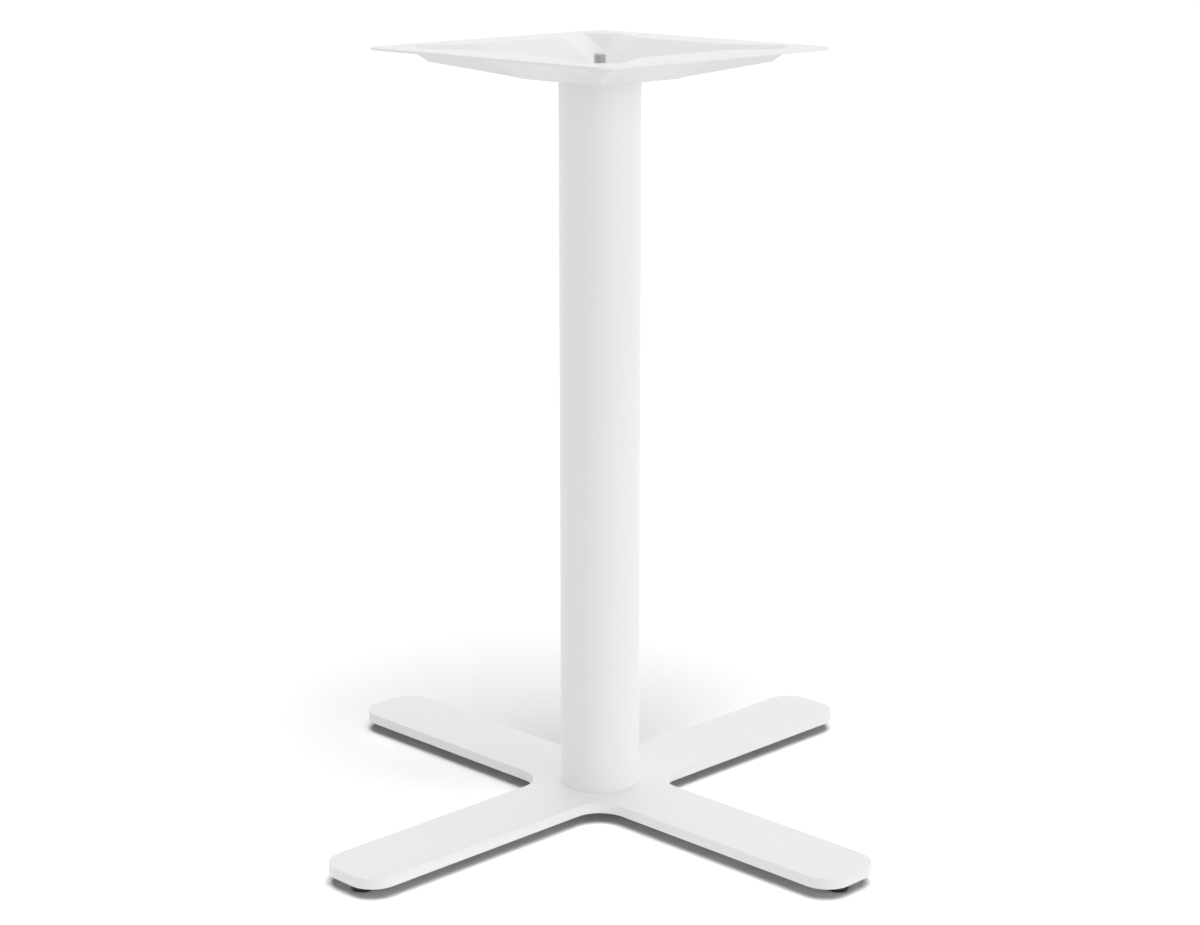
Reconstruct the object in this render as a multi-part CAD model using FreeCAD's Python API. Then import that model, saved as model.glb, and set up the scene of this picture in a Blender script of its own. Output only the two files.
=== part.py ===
import FreeCAD, Part
import math
import os

# Pedestal table base: a flat four-armed steel plate on levelling feet, a round column and a
# pressed square top plate, clamped together by one tie rod down the middle of the column.
# Millimetres, +Z up, floor at Z = 0, column axis on the Z axis, arms along X and Y.

# Four-armed base plate
ARM_REACH = 322.0
ARM_WIDTH = 75.0
ARM_END_RADIUS = 26.0
CROTCH_RADIUS = 29.0
BASE_THICKNESS = 10.0
BASE_EDGE_CHAMFER = 0.6

# Column
COLUMN_DIAMETER = 76.0
COLUMN_WALL = 2.0
COLUMN_LENGTH = 677.0

# Pressed top plate: sheet, outline and fixing holes
TOP_SIDE = 305.0
TOP_CORNER_RADIUS = 18.0
SHEET = 2.5
FIXING_HOLE_DIAMETER = 7.0
FIXING_HOLE_INSET = 20.5

# Star-shaped pan in the top plate, measured on the upper face of the sheet
PAN_DEPTH = 26.5
PAN_FLOOR_SIDE = 102.0
PAN_MOUTH = 208.0
PAN_MOUTH_STRAIGHT = 106.0
EAR_APEX_REACH = 155.0
EAR_APEX_DEPTH = 12.0
EAR_LAND = 46.0
PAN_BEND_RADIUS = 6.0

# Rings that centre the column
RING_HEIGHT = 8.0
RING_CLEARANCE = 0.3

# Tie rod, nuts and washers
ROD_DIAMETER = 12.0
ROD_CHAMFER = 1.2
ROD_BELOW_RIM = 5.5
ROD_BELOW_NUT = 1.5
ROD_HOLE_CLEARANCE = 0.5
THREAD_CLEARANCE = 0.15
NUT_ACROSS_FLATS = 18.0
TOP_NUT_HEIGHT = 7.8
BOTTOM_NUT_HEIGHT = 6.0
HEX_CHAMFER_ANGLE = 30.0
HEX_FACE_MARGIN = 0.3
WASHER_DIAMETER = 24.0
WASHER_THICKNESS = 2.4
WASHER_CLEARANCE = 0.5

# Levelling feet
FOOT_INSET = 22.0
FOOT_GAP = 0.3
PAD_DIAMETER = 22.0
PAD_HEIGHT = 8.0
STUD_DIAMETER = 8.0
STUD_HOLE_CLEARANCE = 0.3
STUD_TIP_GAP = 0.7
STUD_HOLE_COVER = 1.6
COLLAR_ACROSS_FLATS = 13.0
COLLAR_HEIGHT = 3.7
HEAD_ACROSS_FLATS = 10.0
HEAD_HEIGHT = 4.0

# Levels
COLLAR_TOP = PAD_HEIGHT + COLLAR_HEIGHT
BASE_BOTTOM = COLLAR_TOP + FOOT_GAP
BASE_TOP = BASE_BOTTOM + BASE_THICKNESS
STUD_HOLE_TOP = BASE_TOP - STUD_HOLE_COVER
STUD_TOP = STUD_HOLE_TOP - STUD_TIP_GAP
COLUMN_TOP = BASE_TOP + COLUMN_LENGTH
PAN_FLOOR = COLUMN_TOP + SHEET
RIM_TOP = PAN_FLOOR + PAN_DEPTH
RIM_BOTTOM = RIM_TOP - SHEET

# Radii that follow from the fits
ROD_RADIUS = ROD_DIAMETER / 2
ROD_HOLE_RADIUS = ROD_RADIUS + ROD_HOLE_CLEARANCE
NUT_BORE_RADIUS = ROD_RADIUS + THREAD_CLEARANCE
WASHER_BORE_RADIUS = ROD_RADIUS + WASHER_CLEARANCE
RING_RADIUS = COLUMN_DIAMETER / 2 - COLUMN_WALL - RING_CLEARANCE
STUD_HOLE_RADIUS = STUD_DIAMETER / 2 + STUD_HOLE_CLEARANCE

QUARTER_TURNS = (0, 90, 180, 270)
UP = FreeCAD.Vector(0, 0, 1)
ORIGIN = FreeCAD.Vector(0, 0, 0)


def vector(x, y, z):
    return FreeCAD.Vector(x, y, z)


def turned(shape, degrees):
    copy = shape.copy()
    copy.rotate(ORIGIN, UP, degrees)
    return copy


def turned_point(point, degrees):
    return FreeCAD.Rotation(UP, degrees).multVec(point)


def cylinder(radius, bottom, top, x=0.0, y=0.0):
    return Part.makeCylinder(radius, top - bottom, vector(x, y, bottom))


def polygon_face(points):
    return Part.Face(Part.makePolygon(points + points[:1]))


def revolved(profile):
    """Solid of revolution about the column axis from (radius, level) corners."""
    corners = [vector(radius, 0, level) for radius, level in profile]
    return polygon_face(corners).revolve(ORIGIN, UP, 360)


def hexagon(across_flats, bottom, top, x=0.0, y=0.0):
    radius = across_flats / math.sqrt(3)
    corners = []
    for side in range(6):
        angle = math.radians(60 * side)
        corners.append(vector(x + radius * math.cos(angle), y + radius * math.sin(angle), bottom))
    return polygon_face(corners).extrude(vector(0, 0, top - bottom))


def chamfer_cone(across_flats, bottom, top):
    """Body of revolution on the column axis that trims a hexagon's upper corners."""
    face = across_flats / 2 - HEX_FACE_MARGIN
    corner = across_flats / math.sqrt(3) + HEX_FACE_MARGIN
    drop = (corner - face) * math.tan(math.radians(HEX_CHAMFER_ANGLE))
    return revolved([(0, bottom), (corner, bottom), (corner, top - drop), (face, top), (0, top)])


def foot_places():
    """Centre of each levelling foot, by the name of its arm."""
    reach = ARM_REACH - FOOT_INSET
    return {"right": (reach, 0.0), "back": (0.0, reach), "left": (-reach, 0.0), "front": (0.0, -reach)}


def upright_edges_at(shape, radius_from_axis):
    """Vertical edges that stand at the given distance from the column axis."""
    found = []
    for edge in shape.Edges:
        start, end = edge.Vertexes[0].Point, edge.Vertexes[-1].Point
        upright = math.hypot(end.x - start.x, end.y - start.y) < 1e-6
        if upright and abs(math.hypot(start.x, start.y) - radius_from_axis) < 1e-3:
            found.append(edge)
    return found


def outline_edges_at(shape, level):
    """Edges of the outer boundary of the flat face at a level."""
    for face in shape.Faces:
        box = face.BoundBox
        if abs(box.ZMin - level) < 1e-6 and abs(box.ZMax - level) < 1e-6:
            return face.OuterWire.Edges
    raise ValueError("no flat face at level %g" % level)


def base_plate():
    half = ARM_WIDTH / 2
    bar = Part.makeBox(2 * ARM_REACH, ARM_WIDTH, BASE_THICKNESS, vector(-ARM_REACH, -half, BASE_BOTTOM))
    plate = bar.fuse(turned(bar, 90)).removeSplitter()
    plate = plate.makeFillet(ARM_END_RADIUS, upright_edges_at(plate, math.hypot(ARM_REACH, half)))
    plate = plate.makeFillet(CROTCH_RADIUS, upright_edges_at(plate, math.hypot(half, half)))
    plate = plate.makeChamfer(BASE_EDGE_CHAMFER, outline_edges_at(plate, BASE_TOP))
    plate = plate.cut(cylinder(ROD_HOLE_RADIUS, BASE_BOTTOM, BASE_TOP))
    for x, y in foot_places().values():
        plate = plate.cut(cylinder(STUD_HOLE_RADIUS, BASE_BOTTOM, STUD_HOLE_TOP, x, y))
    return plate


def column_tube():
    outer = cylinder(COLUMN_DIAMETER / 2, BASE_TOP, COLUMN_TOP)
    return outer.cut(cylinder(COLUMN_DIAMETER / 2 - COLUMN_WALL, BASE_TOP, COLUMN_TOP))


def centring_ring(bottom):
    outer = cylinder(RING_RADIUS, bottom, bottom + RING_HEIGHT)
    return outer.cut(cylinder(ROD_HOLE_RADIUS, bottom, bottom + RING_HEIGHT))


def pan_corners():
    """Corners of one quarter of the pan on the upper face of the sheet, at the +X +Y ear.

    The two side facets of the ear are flat, so the width of the ear's end at the rim follows
    from the facet's plane through root, apex and floor corner.
    """
    floor_half = PAN_FLOOR_SIDE / 2
    floor_reach = floor_half * math.sqrt(2)
    mouth_half = PAN_MOUTH / 2
    root_half = PAN_MOUTH_STRAIGHT / 2
    root_along = (mouth_half + root_half) / math.sqrt(2)
    root_across = (mouth_half - root_half) / math.sqrt(2)
    valley_rise = (PAN_DEPTH - EAR_APEX_DEPTH) / (EAR_APEX_REACH - floor_reach)
    side_rise = (PAN_DEPTH - valley_rise * (root_along - floor_reach)) / root_across
    corner_reach = TOP_SIDE / math.sqrt(2)
    end_along = corner_reach - EAR_LAND
    end_across = (PAN_DEPTH - valley_rise * (end_along - floor_reach)) / side_rise
    near = (end_along + end_across) / math.sqrt(2)
    far = (end_along - end_across) / math.sqrt(2)
    apex = EAR_APEX_REACH / math.sqrt(2)
    return {
        "root_x": vector(mouth_half, root_half, RIM_TOP),
        "end_x": vector(near, far, RIM_TOP),
        "end_y": vector(far, near, RIM_TOP),
        "root_y": vector(root_half, mouth_half, RIM_TOP),
        "apex": vector(apex, apex, RIM_TOP - EAR_APEX_DEPTH),
        "floor": vector(floor_half, floor_half, PAN_FLOOR),
    }


def pan_void():
    """Star-shaped space above the pan, closed by a flat lid at the rim."""
    quarters = []
    for degrees in QUARTER_TURNS:
        quarters.append({name: turned_point(point, degrees) for name, point in pan_corners().items()})
    faces = []
    lid = []
    for quarter, following in zip(quarters, quarters[1:] + quarters[:1]):
        root_x, end_x, end_y, root_y = (quarter[name] for name in ("root_x", "end_x", "end_y", "root_y"))
        apex, floor = quarter["apex"], quarter["floor"]
        faces.append(polygon_face([root_x, end_x, apex, floor]))
        faces.append(polygon_face([end_x, end_y, apex]))
        faces.append(polygon_face([end_y, root_y, floor, apex]))
        faces.append(polygon_face([root_y, following["root_x"], following["floor"], floor]))
        lid += [root_x, end_x, end_y, root_y]
    faces.append(polygon_face([quarter["floor"] for quarter in quarters]))
    faces.append(polygon_face(lid))
    return Part.Solid(Part.Shell(faces))


def pan_edges(plate, drop):
    """Bends of the pan on the face of the sheet that lies the given drop below the upper one."""
    corners = []
    for degrees in QUARTER_TURNS:
        for point in pan_corners().values():
            corners.append(turned_point(point, degrees) - vector(0, 0, drop))

    def is_corner(vertex):
        return any(vertex.Point.isEqual(corner, 1e-3) for corner in corners)

    return [edge for edge in plate.Edges if all(is_corner(vertex) for vertex in edge.Vertexes)]


def top_plate():
    half = TOP_SIDE / 2
    rim = Part.makeBox(TOP_SIDE, TOP_SIDE, SHEET, vector(-half, -half, RIM_BOTTOM))
    rim = rim.makeFillet(TOP_CORNER_RADIUS, upright_edges_at(rim, math.hypot(half, half)))
    void = pan_void()
    outside = void.copy()
    outside.translate(vector(0, 0, -SHEET))
    plate = rim.fuse(outside).cut(void)
    plate = plate.makeFillet(PAN_BEND_RADIUS, pan_edges(plate, 0) + pan_edges(plate, SHEET))
    plate = plate.cut(cylinder(ROD_HOLE_RADIUS, PAN_FLOOR - SHEET, PAN_FLOOR))
    place = half - FIXING_HOLE_INSET
    hole = cylinder(FIXING_HOLE_DIAMETER / 2, RIM_BOTTOM, RIM_TOP, place, place)
    for degrees in QUARTER_TURNS:
        plate = plate.cut(turned(hole, degrees))
    return plate


def washer(bottom):
    outer = cylinder(WASHER_DIAMETER / 2, bottom, bottom + WASHER_THICKNESS)
    return outer.cut(cylinder(WASHER_BORE_RADIUS, bottom, bottom + WASHER_THICKNESS))


def thin_nut(bottom, top):
    return hexagon(NUT_ACROSS_FLATS, bottom, top).cut(cylinder(NUT_BORE_RADIUS, bottom, top))


def full_nut(bottom, top):
    return thin_nut(bottom, top).common(chamfer_cone(NUT_ACROSS_FLATS, bottom, top))


def tie_rod(bottom, top):
    narrow = ROD_RADIUS - ROD_CHAMFER
    return revolved(
        [
            (0, bottom),
            (narrow, bottom),
            (ROD_RADIUS, bottom + ROD_CHAMFER),
            (ROD_RADIUS, top - ROD_CHAMFER),
            (narrow, top),
            (0, top),
        ]
    )


def foot_pad(x, y):
    pad = cylinder(PAD_DIAMETER / 2, 0, PAD_HEIGHT, x, y)
    return pad.cut(hexagon(HEAD_ACROSS_FLATS, PAD_HEIGHT - HEAD_HEIGHT, PAD_HEIGHT, x, y))


def foot_stud(x, y):
    head = hexagon(HEAD_ACROSS_FLATS, PAD_HEIGHT - HEAD_HEIGHT, PAD_HEIGHT, x, y)
    collar = hexagon(COLLAR_ACROSS_FLATS, PAD_HEIGHT, COLLAR_TOP, x, y)
    shank = cylinder(STUD_DIAMETER / 2, COLLAR_TOP, STUD_TOP, x, y)
    return head.fuse(collar).fuse(shank)


def pieces():
    """Every piece of the table base by name."""
    top_nut_level = PAN_FLOOR + WASHER_THICKNESS
    bottom_washer_level = BASE_BOTTOM - WASHER_THICKNESS
    bottom_nut_level = bottom_washer_level - BOTTOM_NUT_HEIGHT
    made = {
        "base_plate": base_plate(),
        "column_tube": column_tube(),
        "top_plate": top_plate(),
        "base_centring_ring": centring_ring(BASE_TOP),
        "top_centring_ring": centring_ring(COLUMN_TOP - RING_HEIGHT),
        "tie_rod": tie_rod(bottom_nut_level - ROD_BELOW_NUT, RIM_TOP - ROD_BELOW_RIM),
        "top_washer": washer(PAN_FLOOR),
        "top_nut": full_nut(top_nut_level, top_nut_level + TOP_NUT_HEIGHT),
        "bottom_washer": washer(bottom_washer_level),
        "bottom_nut": thin_nut(bottom_nut_level, bottom_washer_level),
    }
    for arm, (x, y) in foot_places().items():
        made["foot_pad_" + arm] = foot_pad(x, y)
        made["foot_stud_" + arm] = foot_stud(x, y)
    return made


os.makedirs("parts", exist_ok=True)
for name, shape in pieces().items():
    shape.exportStep(os.path.join("parts", name + ".step"))
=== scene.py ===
import math

import bmesh
import bpy
from bpy.props import FloatProperty, FloatVectorProperty, PointerProperty
from bpy.types import Operator, Panel, PropertyGroup
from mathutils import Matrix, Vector


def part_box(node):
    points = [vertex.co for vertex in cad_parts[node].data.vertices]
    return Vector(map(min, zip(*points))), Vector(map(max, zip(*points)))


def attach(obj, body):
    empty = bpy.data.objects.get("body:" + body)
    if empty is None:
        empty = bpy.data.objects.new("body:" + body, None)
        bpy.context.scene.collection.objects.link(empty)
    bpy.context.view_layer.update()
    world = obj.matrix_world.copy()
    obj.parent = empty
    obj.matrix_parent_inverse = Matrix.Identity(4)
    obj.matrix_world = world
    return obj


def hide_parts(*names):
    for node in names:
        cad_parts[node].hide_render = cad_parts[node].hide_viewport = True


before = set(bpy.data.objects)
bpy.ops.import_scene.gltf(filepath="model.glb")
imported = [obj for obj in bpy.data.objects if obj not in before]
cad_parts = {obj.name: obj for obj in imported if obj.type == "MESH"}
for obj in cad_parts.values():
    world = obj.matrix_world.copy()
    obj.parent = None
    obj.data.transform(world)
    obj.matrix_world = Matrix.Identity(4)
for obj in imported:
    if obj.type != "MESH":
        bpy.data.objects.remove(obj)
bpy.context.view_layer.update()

bl_info = {
    "name": "Four star table base",
    "version": (1, 0, 0),
    "blender": (4, 5, 0),
    "location": "View3D > Sidebar > Table base",
    "description": "Models a white pedestal table base around its CAD frame",
    "category": "Object",
}

ARMS = ("right", "back", "left", "front")
WAYS = (Vector((1, 0, 0)), Vector((0, 1, 0)), Vector((-1, 0, 0)), Vector((0, -1, 0)))
UP = Vector((0, 0, 1))

# Distances in metres at which points count as one place, are merged, or lie on a cut.
TOUCHING = 1e-5
MERGED = 1e-6
CUT_REACH = 1e-7
# How far a shape that is cut away or joined on reaches past the face where it ends.
PAST = 0.001
# Side of the small plane that becomes the first corner of an outline.
SEED_SIDE = 0.001

# Corners of one turn of thread: share of the pitch along it, and share of the depth out from its root.
THREAD_TURN = ((0.0, 0.0), (0.18, 0.0), (0.52, 1.0), (0.66, 1.0), (1.0, 0.0))
# Depth of a thread and height of the chamfer at a rod's end, both in pitches.
THREAD_DEPTH = 0.6134
ROD_CHAMFER = 0.75
# Turns made past each end of a thread, which are then cut off flat.
SPARE_TURNS = 1.5
NUT_CHAMFER_ANGLE = math.radians(30)

# Folds sharper than this are pressed bends.
BEND_FROM = math.radians(5)
# Size of the strip of rim around the pan, as a scale of the pan's mouth.
MOUTH_STRIP = 1.07

PLATE_LOW, PLATE_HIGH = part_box("base_plate")
COLUMN_LOW, COLUMN_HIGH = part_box("column_tube")
TOP_LOW, TOP_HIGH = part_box("top_plate")
ROD_LOW, ROD_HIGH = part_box("tie_rod")
PAD_LOW, PAD_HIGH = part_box("foot_pad_right")
STUD_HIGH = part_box("foot_stud_right")[1]


def length(name, description, default):
    """A length property in metres."""
    return FloatProperty(
        name=name, description=description, default=default, min=0.0, precision=4,
        unit="LENGTH", subtype="DISTANCE"
    )


def colour(name, description, default):
    """A linear colour property."""
    return FloatVectorProperty(
        name=name, description=description, default=default, min=0.0, max=1.0, size=3, subtype="COLOR"
    )


class TABLEBASE_PG_plate(PropertyGroup):
    reach: length("Arm reach", "From the column axis to the end of an arm", PLATE_HIGH.x)
    width: length("Arm width", "Across one arm", 0.075)
    end_radius: length("End radius", "Rounding of an arm's end corners", 0.026)
    crotch_radius: length("Crotch radius", "Rounding between two arms", 0.029)
    edge_radius: length("Edge radius", "Rounding of the upper and lower edges under the coat", 0.0006)
    rod_hole: length("Rod hole", "Diameter of the hole for the tie rod", 0.013)
    stud_hole: length("Stud hole", "Diameter of the blind hole for a foot", 0.0086)
    stud_cover: length("Stud hole cover", "Steel left above a blind hole", 0.0016)


class TABLEBASE_PG_column(PropertyGroup):
    diameter: length("Diameter", "Outside diameter of the tube", COLUMN_HIGH.x * 2)
    wall: length("Wall", "Wall thickness of the tube", 0.002)
    edge_radius: length("Edge radius", "Rounding of the tube's cut ends", 0.0004)


class TABLEBASE_PG_top(PropertyGroup):
    side: length("Side", "Side of the square rim", TOP_HIGH.x * 2)
    corner_radius: length("Corner radius", "Rounding of the rim's corners", 0.018)
    sheet: length("Sheet", "Thickness of the pressed sheet", 0.0025)
    floor_side: length("Pan floor", "Side of the pan's square floor", 0.102)
    mouth: length("Pan mouth", "Width of the pan at the rim", 0.208)
    straight: length("Mouth straight", "Straight part of each side of the mouth", 0.106)
    apex_reach: length("Ear reach", "From the axis to the deepest point at the end of an ear", 0.155)
    apex_depth: length("Ear depth", "Depth of that point below the rim", 0.012)
    ear_land: length("Ear land", "Rim left between an ear and the square's corner", 0.046)
    bend_radius: length("Bend radius", "Radius of the pressed bends", 0.006)
    edge_radius: length("Edge radius", "Rounding of the cut edges of the sheet", 0.0005)
    hole: length("Fixing hole", "Diameter of a fixing hole", 0.007)
    hole_inset: length("Hole inset", "From a side of the rim to the middle of a fixing hole", 0.0205)


class TABLEBASE_PG_hardware(PropertyGroup):
    rod: length("Tie rod", "Thread diameter of the tie rod", ROD_HIGH.x * 2)
    pitch: length("Rod pitch", "Pitch of the tie rod's thread", 0.00175)
    thread_length: length("Thread length", "Threaded length at each end of the rod", 0.036)
    play: length("Play", "Difference in diameter between thread and shank or bore", 0.0002)
    nut: length("Nut", "Nut across flats", 0.018)
    nut_sink: length("Nut countersink", "Countersink at each end of a nut's bore", 0.0007)
    nut_face: length("Nut face margin", "From a nut's flat to the round edge of its end face", 0.0003)
    nut_blank: length("Nut blank margin", "How far the turned blank stands out past a nut's corners", 0.0002)
    washer: length("Washer", "Outside diameter of a washer", 0.024)
    washer_bore: length("Washer bore", "Inside diameter of a washer", 0.013)
    washer_edge: length("Washer edge", "Rounding of a washer's punched edges", 0.0004)


class TABLEBASE_PG_feet(PropertyGroup):
    reach: length("Foot reach", "From the column axis to the middle of a foot", (PAD_LOW.x + PAD_HIGH.x) / 2)
    pad: length("Pad", "Diameter of a foot pad", PAD_HIGH.y * 2)
    pad_edge: length("Pad edge", "Rounding of the pad's lower edge", 0.003)
    pad_lip: length("Pad lip", "Rounding of the pad's upper edge", 0.0005)
    head: length("Head", "Hexagon moulded into the pad, across flats", 0.010)
    head_height: length("Head height", "Depth of that hexagon in the pad", 0.004)
    collar: length("Collar", "Hexagon collar above the pad, across flats", STUD_HIGH.y * 2)
    collar_height: length("Collar height", "Height of the collar", 0.0037)
    collar_edge: length("Collar edge", "Rounding of the collar's edges", 0.0004)
    stud: length("Stud", "Thread diameter of a stud", 0.008)
    pitch: length("Stud pitch", "Pitch of the stud's thread", 0.00125)


class TABLEBASE_PG_finish(PropertyGroup):
    coat: colour("Coat", "Satin white coat", (0.86, 0.86, 0.86))
    steel: colour("Plated steel", "Dull zinc plating", (0.66, 0.66, 0.67))
    plastic: colour("Plastic", "Matt black plastic of the feet", (0.022, 0.022, 0.023))
    scuff: colour("Scuffed plastic", "Plastic that the floor has scuffed grey", (0.085, 0.084, 0.082))
    scuff_height: length("Scuff height", "Height above the floor at which the scuffing ends", 0.002)


class TABLEBASE_PG_stage(PropertyGroup):
    floor_size: length("Floor", "Side of the floor", 60.0)
    camera_reach: length("Camera reach", "Level distance from the column axis to the camera", 2.2895)
    camera_height: length("Camera height", "Height of the camera above the floor", 0.910)
    camera_turn: FloatProperty(
        name="Camera turn", description="Direction of the camera about the column", default=math.radians(45),
        unit="ROTATION", subtype="ANGLE"
    )
    camera_pitch: FloatProperty(
        name="Camera pitch", description="How far the camera looks down", default=math.radians(13.99),
        unit="ROTATION", subtype="ANGLE"
    )
    lens: FloatProperty(
        name="Lens", description="Focal length on a 36 mm wide sensor", default=74.96,
        unit="CAMERA", subtype="DISTANCE_CAMERA"
    )
    bounce: colour("Bounce", "Floor colour in the light that it throws back", (0.69, 0.69, 0.69))


class TABLEBASE_PG_all(PropertyGroup):
    plate: PointerProperty(type=TABLEBASE_PG_plate, name="Base plate")
    column: PointerProperty(type=TABLEBASE_PG_column, name="Column")
    top: PointerProperty(type=TABLEBASE_PG_top, name="Top plate")
    hardware: PointerProperty(type=TABLEBASE_PG_hardware, name="Rod, nuts and washers")
    feet: PointerProperty(type=TABLEBASE_PG_feet, name="Levelling feet")
    finish: PointerProperty(type=TABLEBASE_PG_finish, name="Finishes")
    stage: PointerProperty(type=TABLEBASE_PG_stage, name="Stage")


class Value:
    """A shader socket that arithmetic can combine; each operation adds one Math node."""

    def __init__(self, finish, socket):
        self.finish = finish
        self.socket = socket

    def maths(self, operation, first, second):
        return self.finish.node("ShaderNodeMath", {"operation": operation}, {0: first, 1: second})

    def __add__(self, other):
        return self.maths("ADD", self, other)

    def __radd__(self, other):
        return self.maths("ADD", other, self)

    def __sub__(self, other):
        return self.maths("SUBTRACT", self, other)

    def __rsub__(self, other):
        return self.maths("SUBTRACT", other, self)

    def __mul__(self, other):
        return self.maths("MULTIPLY", self, other)

    def __rmul__(self, other):
        return self.maths("MULTIPLY", other, self)


class Finish:
    """Node tree of one material or of the world."""

    def __init__(self, owner):
        owner.use_nodes = True
        self.owner = owner
        self.tree = owner.node_tree
        self.tree.nodes.clear()

    def node(self, kind, settings=None, sockets=None, output=0):
        """Adds a node with its settings, then the values or links of its sockets."""
        made = self.tree.nodes.new(kind)
        for key, value in (settings or {}).items():
            setattr(made, key, value)
        for key, value in (sockets or {}).items():
            if isinstance(value, Value):
                self.tree.links.new(value.socket, made.inputs[key])
            else:
                made.inputs[key].default_value = value
        return Value(self, made.outputs[output]) if made.outputs else made

    def place(self):
        return self.node("ShaderNodeTexCoord", output="Object")

    def noise(self, place, scale, detail=2.0):
        return self.node(
            "ShaderNodeTexNoise", None, {"Vector": place, "Scale": scale, "Detail": detail}, "Fac"
        )

    def between(self, share, low, high):
        """Colour that goes from one to the other with the share, on the Mix node's colour sockets."""
        factor, first, second, result = 0, 6, 7, 2
        return self.node(
            "ShaderNodeMix", {"data_type": "RGBA"},
            {factor: share, first: (*low, 1.0), second: (*high, 1.0)}, result
        )

    def bump(self, height, strength, distance):
        return self.node(
            "ShaderNodeBump", None, {"Height": height, "Strength": strength, "Distance": distance}
        )

    def surface(self, shader):
        self.node("ShaderNodeOutputMaterial", None, {"Surface": shader})
        return self.owner


def shaded(tone, share):
    """A colour scaled by a share, which may also lighten it."""
    return tuple(part * share for part in tone)


def satin_coat(name, finishes):
    """Satin powder coat: fine orange peel over slow waves, and hardly any change of shade."""
    coat = Finish(bpy.data.materials.new(name))
    place = coat.place()
    waves = coat.noise(place, scale=55.0)
    peel = coat.noise(place, scale=620.0)
    shade = coat.noise(place, scale=7.0, detail=3.0)
    dull, bright = shaded(finishes.coat, 0.99), shaded(finishes.coat, 1.01)
    return coat.surface(coat.node("ShaderNodeBsdfPrincipled", None, {
        "Base Color": coat.between(shade, dull, bright),
        "Roughness": 0.38 + 0.12 * waves,
        "Normal": coat.bump(0.7 * peel + 0.3 * waves, strength=0.10, distance=0.0002),
    }))


def zinc_plating(name, finishes):
    """Dull zinc plating with a mottled sheen."""
    zinc = Finish(bpy.data.materials.new(name))
    place = zinc.place()
    mottle = zinc.noise(place, scale=240.0, detail=3.0)
    grain = zinc.noise(place, scale=1900.0)
    dull, bright = shaded(finishes.steel, 0.80), shaded(finishes.steel, 1.08)
    return zinc.surface(zinc.node("ShaderNodeBsdfPrincipled", None, {
        "Base Color": zinc.between(mottle, dull, bright),
        "Metallic": 1.0,
        "Roughness": 0.24 + 0.22 * mottle + 0.08 * grain,
        "Normal": zinc.bump(grain, strength=0.15, distance=0.00005),
    }))


def black_plastic(name, finishes):
    """Matt moulded plastic, scuffed grey where the pad meets the floor."""
    plastic = Finish(bpy.data.materials.new(name))
    place = plastic.place()
    grain = plastic.noise(place, scale=2400.0)
    scuff = plastic.noise(place, scale=420.0, detail=4.0)
    height = plastic.node("ShaderNodeSeparateXYZ", None, {"Vector": place}, "Z")
    lifted = plastic.node(
        "ShaderNodeMapRange", {"clamp": True}, {"Value": height, "From Max": finishes.scuff_height}
    )
    worn = (1 - lifted) * scuff
    return plastic.surface(plastic.node("ShaderNodeBsdfPrincipled", None, {
        "Base Color": plastic.between(worn, finishes.plastic, finishes.scuff),
        "Roughness": 0.46 + 0.16 * grain + 0.15 * worn,
        "Normal": plastic.bump(grain, strength=0.25, distance=0.00006),
    }))


FINISHES = {
    "white_coat": ("satin_white_coat", satin_coat),
    "plated_steel": ("dull_zinc_plating", zinc_plating),
    "black_plastic": ("matt_black_plastic", black_plastic),
}


def dress(piece, slot):
    """Gives a piece or a CAD node the finish of its slot, which is made when it is first asked for."""
    name, maker = FINISHES[slot]
    material = bpy.data.materials.get(name) or maker(name, bpy.context.scene.table_base.finish)
    if not piece.data.materials:
        piece.data.materials.append(material)
    for holder in piece.material_slots:
        holder.material = material


def clear_selection():
    if bpy.context.object and bpy.context.object.mode != "OBJECT":
        bpy.ops.object.mode_set(mode="OBJECT")
    bpy.ops.object.select_all(action="DESELECT")


def activate(piece):
    """Makes a piece the active one and the only one selected."""
    clear_selection()
    piece.select_set(True)
    bpy.context.view_layer.objects.active = piece


def added(name):
    """Names the primitive that was just added and puts its place and size into its mesh."""
    piece = bpy.context.object
    piece.name = name
    piece.data.name = name
    bpy.ops.object.transform_apply(location=True, rotation=True, scale=True)
    return piece


def edit(piece):
    activate(piece)
    bpy.ops.object.mode_set(mode="EDIT")
    bpy.ops.mesh.select_mode(type="VERT")
    bpy.ops.mesh.select_all(action="DESELECT")


def leave(piece):
    bpy.ops.object.mode_set(mode="OBJECT")
    return piece


def pick(kind, wanted):
    """Selects the vertices, edges or faces of the mesh in edit mode that pass a test."""
    bpy.ops.mesh.select_mode(type=kind)
    bpy.ops.mesh.select_all(action="DESELECT")
    mesh = bpy.context.object.data
    shape = bmesh.from_edit_mesh(mesh)
    parts = {"VERT": shape.verts, "EDGE": shape.edges, "FACE": shape.faces}[kind]
    chosen = [part for part in parts if wanted(part)]
    if not chosen:
        raise RuntimeError("nothing to select on " + bpy.context.object.name)
    for part in chosen:
        part.select_set(True)
    shape.select_flush_mode()
    bmesh.update_edit_mesh(mesh)


def pick_points(*points):
    pick("VERT", lambda vertex: any((vertex.co - point).length < TOUCHING for point in points))


def middle(edge):
    return (edge.verts[0].co + edge.verts[1].co) / 2


def is_upright(edge):
    run = edge.verts[1].co - edge.verts[0].co
    return run.xy.length < TOUCHING < abs(run.z)


def is_level(face):
    return 1 - abs(face.normal.z) < TOUCHING


def lies_at(edge, level):
    return all(abs(vertex.co.z - level) < TOUCHING for vertex in edge.verts)


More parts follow.
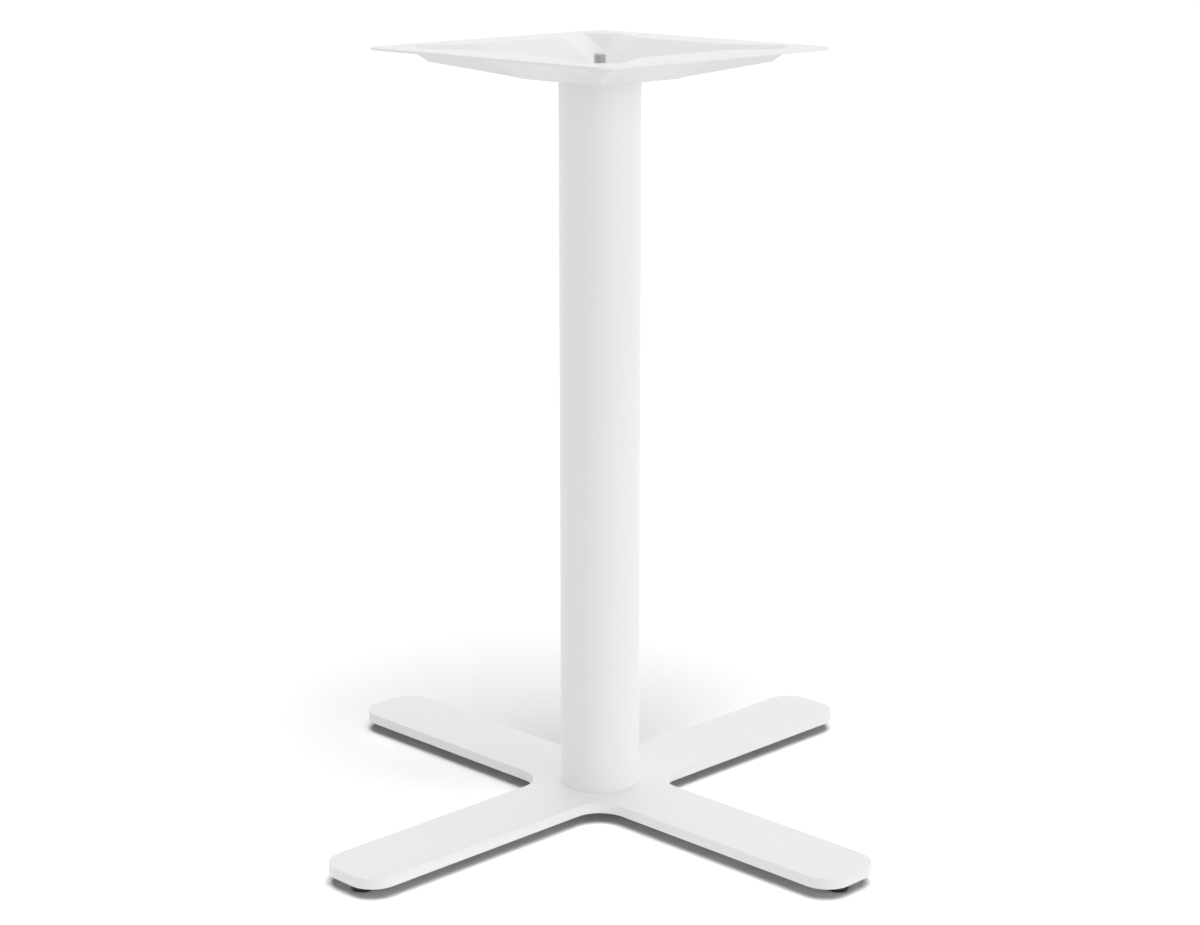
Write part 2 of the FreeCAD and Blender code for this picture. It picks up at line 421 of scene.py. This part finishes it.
def traced(name, corners):
    """Starts a piece as an outline of (radius, level) corners in the X-Z plane."""
    clear_selection()
    points = [Vector((radius, 0, level)) for radius, level in corners]
    bpy.ops.mesh.primitive_plane_add(size=SEED_SIDE, location=points[0])
    piece = added(name)
    edit(piece)
    bpy.ops.mesh.select_all(action="SELECT")
    bpy.ops.mesh.merge(type="CENTER")
    for last, point in zip(points, points[1:]):
        pick_points(last)
        bpy.ops.mesh.extrude_vertices_move(TRANSFORM_OT_translate={"value": point - last})
    return piece


def quarter_round(radius, level, rounding, start, steps=6):
    """Corners of a quarter circle in an outline, counted from its start angle in degrees."""
    angles = [math.radians(start + 90 * step / steps) for step in range(steps + 1)]
    return [(radius + rounding * math.cos(angle), level + rounding * math.sin(angle)) for angle in angles]


def turned(name, corners, steps=96):
    """A closed outline of (radius, level) corners, spun about the column axis."""
    piece = traced(name, corners)
    pick_points(*(Vector((radius, 0, level)) for radius, level in (corners[0], corners[-1])))
    bpy.ops.mesh.edge_face_add()
    bpy.ops.mesh.select_all(action="SELECT")
    bpy.ops.mesh.spin(steps=steps, angle=2 * math.pi, center=(0, 0, 0), axis=(0, 0, 1))
    bpy.ops.mesh.select_all(action="SELECT")
    bpy.ops.mesh.remove_doubles(threshold=MERGED)
    bpy.ops.mesh.normals_make_consistent(inside=False)
    return leave(piece)


def hexagon(name, across_flats, bottom, top):
    """Six-sided bar on the column axis with a corner towards +X."""
    clear_selection()
    bpy.ops.mesh.primitive_cylinder_add(
        vertices=6, radius=across_flats / math.sqrt(3), depth=top - bottom,
        location=(0, 0, (bottom + top) / 2), rotation=(0, 0, math.radians(30))
    )
    return added(name)


def round_bar(name, diameter, bottom, top, axis=(0, 0), sides=64):
    """Upright round bar, on the column axis unless another is given."""
    clear_selection()
    bpy.ops.mesh.primitive_cylinder_add(
        vertices=sides, radius=diameter / 2, depth=top - bottom, location=(*axis, (bottom + top) / 2)
    )
    return added(name)


def apply_modifier(piece, kind, **settings):
    activate(piece)
    bpy.ops.object.modifier_add(type=kind)
    modifier = piece.modifiers[-1]
    for key, value in settings.items():
        setattr(modifier, key, value)
    bpy.ops.object.modifier_apply(modifier=modifier.name)


def carve(piece, tool, operation):
    """Cuts, trims or joins a piece with a second shape, which is used up."""
    apply_modifier(piece, "BOOLEAN", operation=operation, solver="EXACT", object=tool)
    bpy.data.objects.remove(tool)


def round_edges(piece, radius, angle=50.0, segments=3):
    apply_modifier(
        piece, "BEVEL", width=radius, segments=segments, limit_method="ANGLE",
        angle_limit=math.radians(angle), use_clamp_overlap=True
    )


def smooth(piece, angle=38.0):
    """Smooth shading that keeps large flat faces flat."""
    activate(piece)
    bpy.ops.object.shade_smooth_by_angle(angle=math.radians(angle))
    apply_modifier(piece, "WEIGHTED_NORMAL", weight=100, keep_sharp=True)


def threaded(name, diameter, pitch, bottom, top, steps=48):
    """Threaded bar with flat ends."""
    radius = diameter / 2
    depth = THREAD_DEPTH * pitch
    root = radius - depth
    start = bottom - SPARE_TURNS * pitch
    piece = leave(traced(name, [(root + out * depth, start + along * pitch) for along, out in THREAD_TURN]))
    turns = math.ceil((top - bottom) / pitch + 2 * SPARE_TURNS)
    apply_modifier(
        piece, "SCREW", axis="Z", angle=2 * math.pi, screw_offset=pitch, iterations=turns, steps=steps,
        render_steps=steps, use_merge_vertices=True, merge_threshold=MERGED, use_smooth_shade=False
    )
    for level, side in ((bottom, -UP), (top, UP)):
        edit(piece)
        bpy.ops.mesh.select_all(action="SELECT")
        bpy.ops.mesh.bisect(
            plane_co=(0, 0, level), plane_no=side, use_fill=True, clear_outer=True, threshold=CUT_REACH
        )
        leave(piece)
    edit(piece)
    bpy.ops.mesh.select_all(action="SELECT")
    bpy.ops.mesh.remove_doubles(threshold=MERGED)
    bpy.ops.mesh.normals_make_consistent(inside=False)
    return leave(piece)


def ear_corners(size, floor, rim, quarter):
    """Corners of one ear of the pan.

    Its side facets are flat, so the width of its end at the rim follows from the plane through
    the root, the apex and the floor's corner.
    """
    diagonal = math.sqrt(2)
    depth = rim - floor
    floor_half, mouth_half, root_half = size.floor_side / 2, size.mouth / 2, size.straight / 2
    floor_reach = floor_half * diagonal
    valley_rise = (depth - size.apex_depth) / (size.apex_reach - floor_reach)
    root_along = (mouth_half + root_half) / diagonal
    root_across = (mouth_half - root_half) / diagonal
    side_rise = (depth - valley_rise * (root_along - floor_reach)) / root_across
    end_along = size.side / diagonal - size.ear_land
    end_across = (depth - valley_rise * (end_along - floor_reach)) / side_rise
    near, far = (end_along + end_across) / diagonal, (end_along - end_across) / diagonal
    apex = size.apex_reach / diagonal
    along, across = WAYS[quarter], WAYS[(quarter + 1) % 4]
    places = {
        "floor": (floor_half, floor_half, floor), "apex": (apex, apex, rim - size.apex_depth),
        "root_x": (mouth_half, root_half, rim), "root_y": (root_half, mouth_half, rim),
        "end_x": (near, far, rim), "end_y": (far, near, rim),
    }
    return {name: along * x + across * y + UP * z for name, (x, y, z) in places.items()}


def settle(piece, body, slot, node):
    """Dresses a finished piece and its CAD node, puts it on its body and lets it stand for the node."""
    dress(piece, slot)
    dress(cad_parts[node], slot)
    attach(piece, body)
    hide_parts(node)


class TABLEBASE_OT_base_plate(Operator):
    """Model the flat four-armed plate: a hub with four extruded arms, rounded ends and crotches"""

    bl_idname = "table_base.base_plate"
    bl_label = "Base plate"

    def execute(self, context):
        size = context.scene.table_base.plate
        feet = context.scene.table_base.feet
        bottom, top = PLATE_LOW.z, PLATE_HIGH.z
        half = size.width / 2
        clear_selection()
        bpy.ops.mesh.primitive_cube_add(
            size=1, location=(0, 0, (bottom + top) / 2), scale=(size.width, size.width, top - bottom)
        )
        plate = added("base_plate_coated")
        edit(plate)
        for way in WAYS:
            pick("FACE", lambda face: (face.calc_center_median() - way * half).xy.length < TOUCHING)
            bpy.ops.mesh.extrude_region_move(TRANSFORM_OT_translate={"value": way * (size.reach - half)})
        pick("FACE", is_level)
        bpy.ops.mesh.dissolve_faces()
        for place, radius in (
            (math.hypot(size.reach, half), size.end_radius),
            (math.hypot(half, half), size.crotch_radius),
        ):
            pick("EDGE", lambda edge: is_upright(edge) and abs(middle(edge).xy.length - place) < TOUCHING)
            bpy.ops.mesh.bevel(offset=radius, segments=20, affect="EDGES", clamp_overlap=False)
        pick("EDGE", lambda edge: lies_at(edge, bottom) or lies_at(edge, top))
        bpy.ops.mesh.bevel(offset=size.edge_radius, segments=3, affect="EDGES", clamp_overlap=False)
        leave(plate)
        carve(plate, round_bar("rod_hole", size.rod_hole, bottom - PAST, top + PAST), "DIFFERENCE")
        hole_top = top - size.stud_cover
        for way in WAYS:
            axis = way.xy * feet.reach
            hole = round_bar("stud_hole", size.stud_hole, bottom - PAST, hole_top, axis)
            carve(plate, hole, "DIFFERENCE")
        smooth(plate)
        settle(plate, "base", "white_coat", "base_plate")
        return {"FINISHED"}


class TABLEBASE_OT_column(Operator):
    """Model the column as an open tube with a wall and softened ends"""

    bl_idname = "table_base.column"
    bl_label = "Column"

    def execute(self, context):
        size = context.scene.table_base.column
        bottom, top = COLUMN_LOW.z, COLUMN_HIGH.z
        clear_selection()
        bpy.ops.mesh.primitive_cylinder_add(
            vertices=160, radius=size.diameter / 2, depth=top - bottom, end_fill_type="NOTHING",
            location=(0, 0, (bottom + top) / 2)
        )
        tube = added("column_coated")
        apply_modifier(tube, "SOLIDIFY", thickness=size.wall, offset=-1.0)
        round_edges(tube, size.edge_radius)
        smooth(tube)
        settle(tube, "base", "white_coat", "column_tube")
        return {"FINISHED"}


class TABLEBASE_OT_top_plate(Operator):
    """Model the pressed top plate: a sloping pan with four ears in a flat square rim, with bent edges"""

    bl_idname = "table_base.top_plate"
    bl_label = "Top plate"

    def execute(self, context):
        size = context.scene.table_base.top
        rim = TOP_HIGH.z
        floor = TOP_LOW.z + size.sheet
        clear_selection()
        bpy.ops.mesh.primitive_plane_add(size=size.floor_side, location=(0, 0, floor))
        plate = added("top_plate_pressed")
        edit(plate)
        self.slopes(size, floor, rim)
        for quarter in range(4):
            self.ear(size, floor, rim, quarter)
        pick("EDGE", lambda edge: edge.is_boundary)
        bpy.ops.mesh.extrude_edges_move()
        bpy.ops.transform.resize(value=(MOUTH_STRIP, MOUTH_STRIP, 1.0), center_override=(0, 0, rim))
        bpy.ops.mesh.select_all(action="SELECT")
        bpy.ops.mesh.normals_make_consistent(inside=False)
        self.mark_bends(plate)
        leave(plate)
        apply_modifier(
            plate, "BEVEL", width=size.bend_radius, segments=5, limit_method="WEIGHT", use_clamp_overlap=False
        )
        edit(plate)
        self.rim(size, rim)
        bpy.ops.mesh.select_all(action="SELECT")
        bpy.ops.mesh.extrude_region_move(TRANSFORM_OT_translate={"value": -UP * size.sheet})
        bpy.ops.mesh.select_all(action="SELECT")
        bpy.ops.mesh.normals_make_consistent(inside=False)
        leave(plate)
        rod_hole = context.scene.table_base.plate.rod_hole
        carve(plate, round_bar("rod_hole", rod_hole, TOP_LOW.z - PAST, floor + PAST), "DIFFERENCE")
        round_edges(plate, size.edge_radius, angle=60.0, segments=2)
        smooth(plate)
        settle(plate, "base", "white_coat", "top_plate")
        return {"FINISHED"}

    def slopes(self, size, floor, rim):
        """Extrudes the floor's four edges up and out to the straight parts of the mouth."""
        half = size.floor_side / 2
        for way in WAYS:
            edge_at = way * half + UP * floor
            pick("EDGE", lambda edge: (middle(edge) - edge_at).length < TOUCHING)
            shift = way * (size.mouth / 2 - half) + UP * (rim - floor)
            bpy.ops.mesh.extrude_edges_move(TRANSFORM_OT_translate={"value": shift})
            grow = size.straight / size.floor_side
            stretch = [1.0 if part else grow for part in way.xy]
            bpy.ops.transform.resize(value=(*stretch, 1.0), center_override=edge_at + shift)

    def ear(self, size, floor, rim, quarter):
        """Draws the apex and the end of one ear and fills its three facets."""
        corner = ear_corners(size, floor, rim, quarter)
        for start, end in (("floor", "apex"), ("root_x", "end_x"), ("root_y", "end_y")):
            pick_points(corner[start])
            bpy.ops.mesh.extrude_vertices_move(TRANSFORM_OT_translate={"value": corner[end] - corner[start]})
        for facet in (
            ("root_x", "end_x", "apex", "floor"),
            ("end_x", "end_y", "apex"),
            ("end_y", "root_y", "floor", "apex"),
        ):
            pick_points(*(corner[name] for name in facet))
            bpy.ops.mesh.edge_face_add()

    def rim(self, size, rim):
        """Fills the flat rim between the rounded square, the mouth and the fixing holes."""
        bpy.ops.mesh.select_all(action="DESELECT")
        bpy.ops.mesh.primitive_plane_add(size=size.side, location=(0, 0, rim))
        bpy.ops.mesh.bevel(offset=size.corner_radius, segments=10, affect="VERTICES")
        bpy.ops.mesh.delete(type="ONLY_FACE")
        place = size.side / 2 - size.hole_inset
        for x, y in ((place, place), (-place, place), (-place, -place), (place, -place)):
            bpy.ops.mesh.select_all(action="DESELECT")
            bpy.ops.mesh.primitive_circle_add(vertices=40, radius=size.hole / 2, location=(x, y, rim))
        pick("EDGE", lambda edge: lies_at(edge, rim) and len(edge.link_faces) < 2)
        bpy.ops.mesh.fill(use_beauty=True)

    def mark_bends(self, plate):
        """Weights each bend so that the bevel gives it the same radius."""
        shape = bmesh.from_edit_mesh(plate.data)
        weight = shape.edges.layers.float.get("bevel_weight_edge")
        if weight is None:
            weight = shape.edges.layers.float.new("bevel_weight_edge")
        for edge in shape.edges:
            if len(edge.link_faces) == 2:
                bend = edge.calc_face_angle()
                if bend > BEND_FROM:
                    edge[weight] = math.tan(bend / 2)
        bmesh.update_edit_mesh(plate.data)


class TABLEBASE_OT_tie_rod(Operator):
    """Model the tie rod: a plain bar with a rolled thread and a chamfer at each end"""

    bl_idname = "table_base.tie_rod"
    bl_label = "Tie rod"

    def execute(self, context):
        size = context.scene.table_base.hardware
        bottom, top = ROD_LOW.z, ROD_HIGH.z
        reach = size.thread_length
        shank_bottom, shank_top = bottom + reach - size.pitch, top - reach + size.pitch
        rod = round_bar("tie_rod_threaded", size.rod - size.play, shank_bottom, shank_top, sides=48)
        carve(rod, threaded("lower_thread", size.rod, size.pitch, bottom, bottom + reach), "UNION")
        carve(rod, threaded("upper_thread", size.rod, size.pitch, top - reach, top), "UNION")
        trim = ROD_CHAMFER * size.pitch
        wide = size.rod / 2 + size.play
        narrow = wide - trim
        blank = turned("chamfers", [
            (0, bottom), (narrow, bottom), (wide, bottom + trim), (wide, top - trim), (narrow, top), (0, top)
        ])
        carve(rod, blank, "INTERSECT")
        smooth(rod, angle=30.0)
        settle(rod, "base", "plated_steel", "tie_rod")
        return {"FINISHED"}


class TABLEBASE_OT_nuts(Operator):
    """Model the two nuts: hexagons trimmed by a turned blank with chamfers and a countersunk bore"""

    bl_idname = "table_base.nuts"
    bl_label = "Nuts"

    def execute(self, context):
        size = context.scene.table_base.hardware
        bore = (size.rod + size.play) / 2
        sink = size.nut_sink
        face = size.nut / 2 - size.nut_face
        corner = size.nut / math.sqrt(3) + size.nut_blank
        drop = (corner - face) * math.tan(NUT_CHAMFER_ANGLE)
        for node in ("top_nut", "bottom_nut"):
            low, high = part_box(node)
            nut = turned(node + "_plated", [
                (bore, low.z + sink), (bore + sink, low.z), (face, low.z), (corner, low.z + drop),
                (corner, high.z - drop), (face, high.z), (bore + sink, high.z), (bore, high.z - sink),
            ])
            carve(nut, hexagon("hexagon", size.nut, low.z - PAST, high.z + PAST), "INTERSECT")
            smooth(nut, angle=20.0)
            settle(nut, "base", "plated_steel", node)
        return {"FINISHED"}


class TABLEBASE_OT_washers(Operator):
    """Model the two washers as turned rings with a rounded punched edge"""

    bl_idname = "table_base.washers"
    bl_label = "Washers"

    def execute(self, context):
        size = context.scene.table_base.hardware
        for node in ("top_washer", "bottom_washer"):
            low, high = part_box(node)
            bore, rim = size.washer_bore / 2, size.washer / 2
            washer = turned(node + "_plated", [(bore, low.z), (rim, low.z), (rim, high.z), (bore, high.z)])
            round_edges(washer, size.washer_edge)
            smooth(washer)
            settle(washer, "base", "plated_steel", node)
        return {"FINISHED"}


class TABLEBASE_OT_feet(Operator):
    """Model one levelling foot, a moulded pad on a threaded stud, and copy it to the four arms"""

    bl_idname = "table_base.feet"
    bl_label = "Levelling feet"

    def execute(self, context):
        size = context.scene.table_base.feet
        pad_top = PAD_HIGH.z
        head_bottom = pad_top - size.head_height
        collar_top = pad_top + size.collar_height
        rim, edge, lip = size.pad / 2, size.pad_edge, size.pad_lip
        pad = turned("pad_pattern", [
            (0, 0),
            *quarter_round(rim - edge, edge, edge, start=-90),
            *quarter_round(rim - lip, pad_top - lip, lip, start=0),
            (0, pad_top),
        ])
        carve(pad, hexagon("socket", size.head, head_bottom, pad_top + PAST), "DIFFERENCE")
        smooth(pad)
        stud = threaded("stud_pattern", size.stud, size.pitch, collar_top - PAST, STUD_HIGH.z)
        collar = hexagon("collar", size.collar, pad_top, collar_top)
        round_edges(collar, size.collar_edge)
        carve(stud, collar, "UNION")
        carve(stud, hexagon("head", size.head, head_bottom, pad_top + PAST), "UNION")
        smooth(stud, angle=30.0)
        for arm, way in zip(ARMS, WAYS):
            shift = way * size.reach
            self.copied(pad, shift, "_moulded", arm, "black_plastic", "foot_pad_" + arm)
            self.copied(stud, shift, "_threaded", arm, "plated_steel", "foot_stud_" + arm)
        for pattern in (pad, stud):
            bpy.data.objects.remove(pattern)
        return {"FINISHED"}

    def copied(self, pattern, shift, suffix, arm, slot, node):
        """Copies a pattern, with its own mesh, to the place of a CAD node."""
        activate(pattern)
        bpy.ops.object.duplicate(linked=False)
        bpy.ops.transform.translate(value=shift)
        settle(added(node + suffix), "foot_" + arm, slot, node)


class TABLEBASE_OT_centring_rings(Operator):
    """Plate the two rings that centre the column"""

    bl_idname = "table_base.centring_rings"
    bl_label = "Centring rings"

    def execute(self, context):
        for node in ("base_centring_ring", "top_centring_ring"):
            dress(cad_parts[node], "plated_steel")
        return {"FINISHED"}


class TABLEBASE_OT_stage(Operator):
    """Set the floor, the lamps, the white surroundings and the camera"""

    bl_idname = "table_base.stage"
    bl_label = "Stage"

    # Name, way to the lamp, its spread in degrees, and the share of white that it gives a face turned to it.
    # The lamps above leave no gloss of their own, because a gloss shows the white surroundings there.
    LAMPS_ABOVE = (
        ("dome", (0.0, 0.0, 1.0), 180.0, 0.64),
        ("key", (0.325, -0.05, 1.0), 45.0, 0.08),
        ("high_back", (-0.5, 0.5, 0.5), 60.0, 0.18),
    )
    LAMPS_AROUND = (
        ("right", (1.0, 0.15, 0.06), 60.0, 0.37),
        ("back", (0.0, 1.0, 0.06), 60.0, 0.18),
        ("left", (-0.9, -0.5, 0.06), 60.0, 0.18),
    )
    OVERHEAD = ("overhead", (0.33, -0.18, 1.0), 45.0, 1.24)

    def execute(self, context):
        stage = context.scene.table_base.stage
        floor = self.floor(stage)
        self.surroundings()
        for lamp in self.LAMPS_ABOVE:
            self.lamp(*lamp, floor, "EXCLUDE").visible_glossy = False
        for lamp in self.LAMPS_AROUND:
            self.lamp(*lamp, floor, "EXCLUDE")
        self.lamp(*self.OVERHEAD, floor, "INCLUDE")
        self.camera(stage)
        context.scene.view_settings.view_transform = "Standard"
        return {"FINISHED"}

    def seen(self, finish):
        """1 for rays that find white surroundings: from the camera, in a gloss or through a clear piece."""
        camera, gloss, clear = (
            finish.node("ShaderNodeLightPath", output=f"Is {ray} Ray")
            for ray in ("Camera", "Glossy", "Transmission")
        )
        return camera + gloss + clear

    def floor(self, stage):
        clear_selection()
        bpy.ops.mesh.primitive_plane_add(size=stage.floor_size, location=(0, 0, 0))
        floor = added("studio_floor")
        paint = Finish(bpy.data.materials.new("studio_floor_white"))
        seen = self.seen(paint)
        shown = paint.node("ShaderNodeBsdfDiffuse", None, {"Color": (1.0, 1.0, 1.0, 1.0)})
        bounced = paint.node("ShaderNodeBsdfDiffuse", None, {"Color": (*stage.bounce, 1.0)})
        floor.data.materials.append(
            paint.surface(paint.node("ShaderNodeMixShader", None, {0: seen, 1: bounced, 2: shown}))
        )
        return floor

    def surroundings(self):
        world = bpy.data.worlds.new("white_surroundings")
        bpy.context.scene.world = world
        air = Finish(world)
        seen = self.seen(air)
        white = air.node("ShaderNodeBackground", None, {"Color": (1.0, 1.0, 1.0, 1.0), "Strength": seen})
        air.node("ShaderNodeOutputWorld", None, {"Surface": white})

    def lamp(self, name, source, spread, level, floor, share):
        """Adds a distant lamp that leaves the floor out or lights it alone."""
        clear_selection()
        bpy.ops.object.light_add(type="SUN", rotation=Vector(source).to_track_quat("Z", "Y").to_euler())
        lamp = bpy.context.object
        lamp.name = name + "_lamp"
        # At a strength of pi a white face turned to the lamp is just white.
        lamp.data.energy = math.pi * level
        lamp.data.angle = math.radians(spread)
        lit = bpy.data.collections.new(name + "_lamp_lights")
        lit.objects.link(floor)
        lit.collection_objects[0].light_linking.link_state = share
        lamp.light_linking.receiver_collection = lit
        return lamp

    def camera(self, stage):
        clear_selection()
        turn = stage.camera_turn
        away = Vector((math.sin(turn), -math.cos(turn), 0)) * stage.camera_reach
        bpy.ops.object.camera_add(
            location=away + UP * stage.camera_height, rotation=(math.pi / 2 - stage.camera_pitch, 0, turn)
        )
        camera = bpy.context.object
        camera.name = "photo_camera"
        camera.data.sensor_fit = "HORIZONTAL"
        camera.data.sensor_width = 36.0
        camera.data.lens = stage.lens
        camera.data.clip_end = 200.0
        bpy.context.scene.camera = camera


class TABLEBASE_PT_panel(Panel):
    """Lists the pieces of the table base"""

    bl_idname = "TABLEBASE_PT_panel"
    bl_label = "Table base"
    bl_space_type = "VIEW_3D"
    bl_region_type = "UI"
    bl_category = "Table base"

    def draw(self, context):
        for operator in OPERATORS:
            self.layout.operator(operator.bl_idname)


GROUPS = (
    TABLEBASE_PG_plate, TABLEBASE_PG_column, TABLEBASE_PG_top, TABLEBASE_PG_hardware, TABLEBASE_PG_feet,
    TABLEBASE_PG_finish, TABLEBASE_PG_stage, TABLEBASE_PG_all,
)
OPERATORS = (
    TABLEBASE_OT_base_plate, TABLEBASE_OT_column, TABLEBASE_OT_top_plate, TABLEBASE_OT_tie_rod,
    TABLEBASE_OT_nuts, TABLEBASE_OT_washers, TABLEBASE_OT_feet, TABLEBASE_OT_centring_rings,
    TABLEBASE_OT_stage,
)
CLASSES = (*GROUPS, *OPERATORS, TABLEBASE_PT_panel)


def register():
    for kind in CLASSES:
        bpy.utils.register_class(kind)
    bpy.types.Scene.table_base = PointerProperty(type=TABLEBASE_PG_all)


def unregister():
    del bpy.types.Scene.table_base
    for kind in reversed(CLASSES):
        bpy.utils.unregister_class(kind)


def main():
    register()
    bpy.ops.table_base.base_plate()
    bpy.ops.table_base.column()
    bpy.ops.table_base.top_plate()
    bpy.ops.table_base.tie_rod()
    bpy.ops.table_base.nuts()
    bpy.ops.table_base.washers()
    bpy.ops.table_base.feet()
    bpy.ops.table_base.centring_rings()
    bpy.ops.table_base.stage()
    clear_selection()


if __name__ == "__main__":
    main()
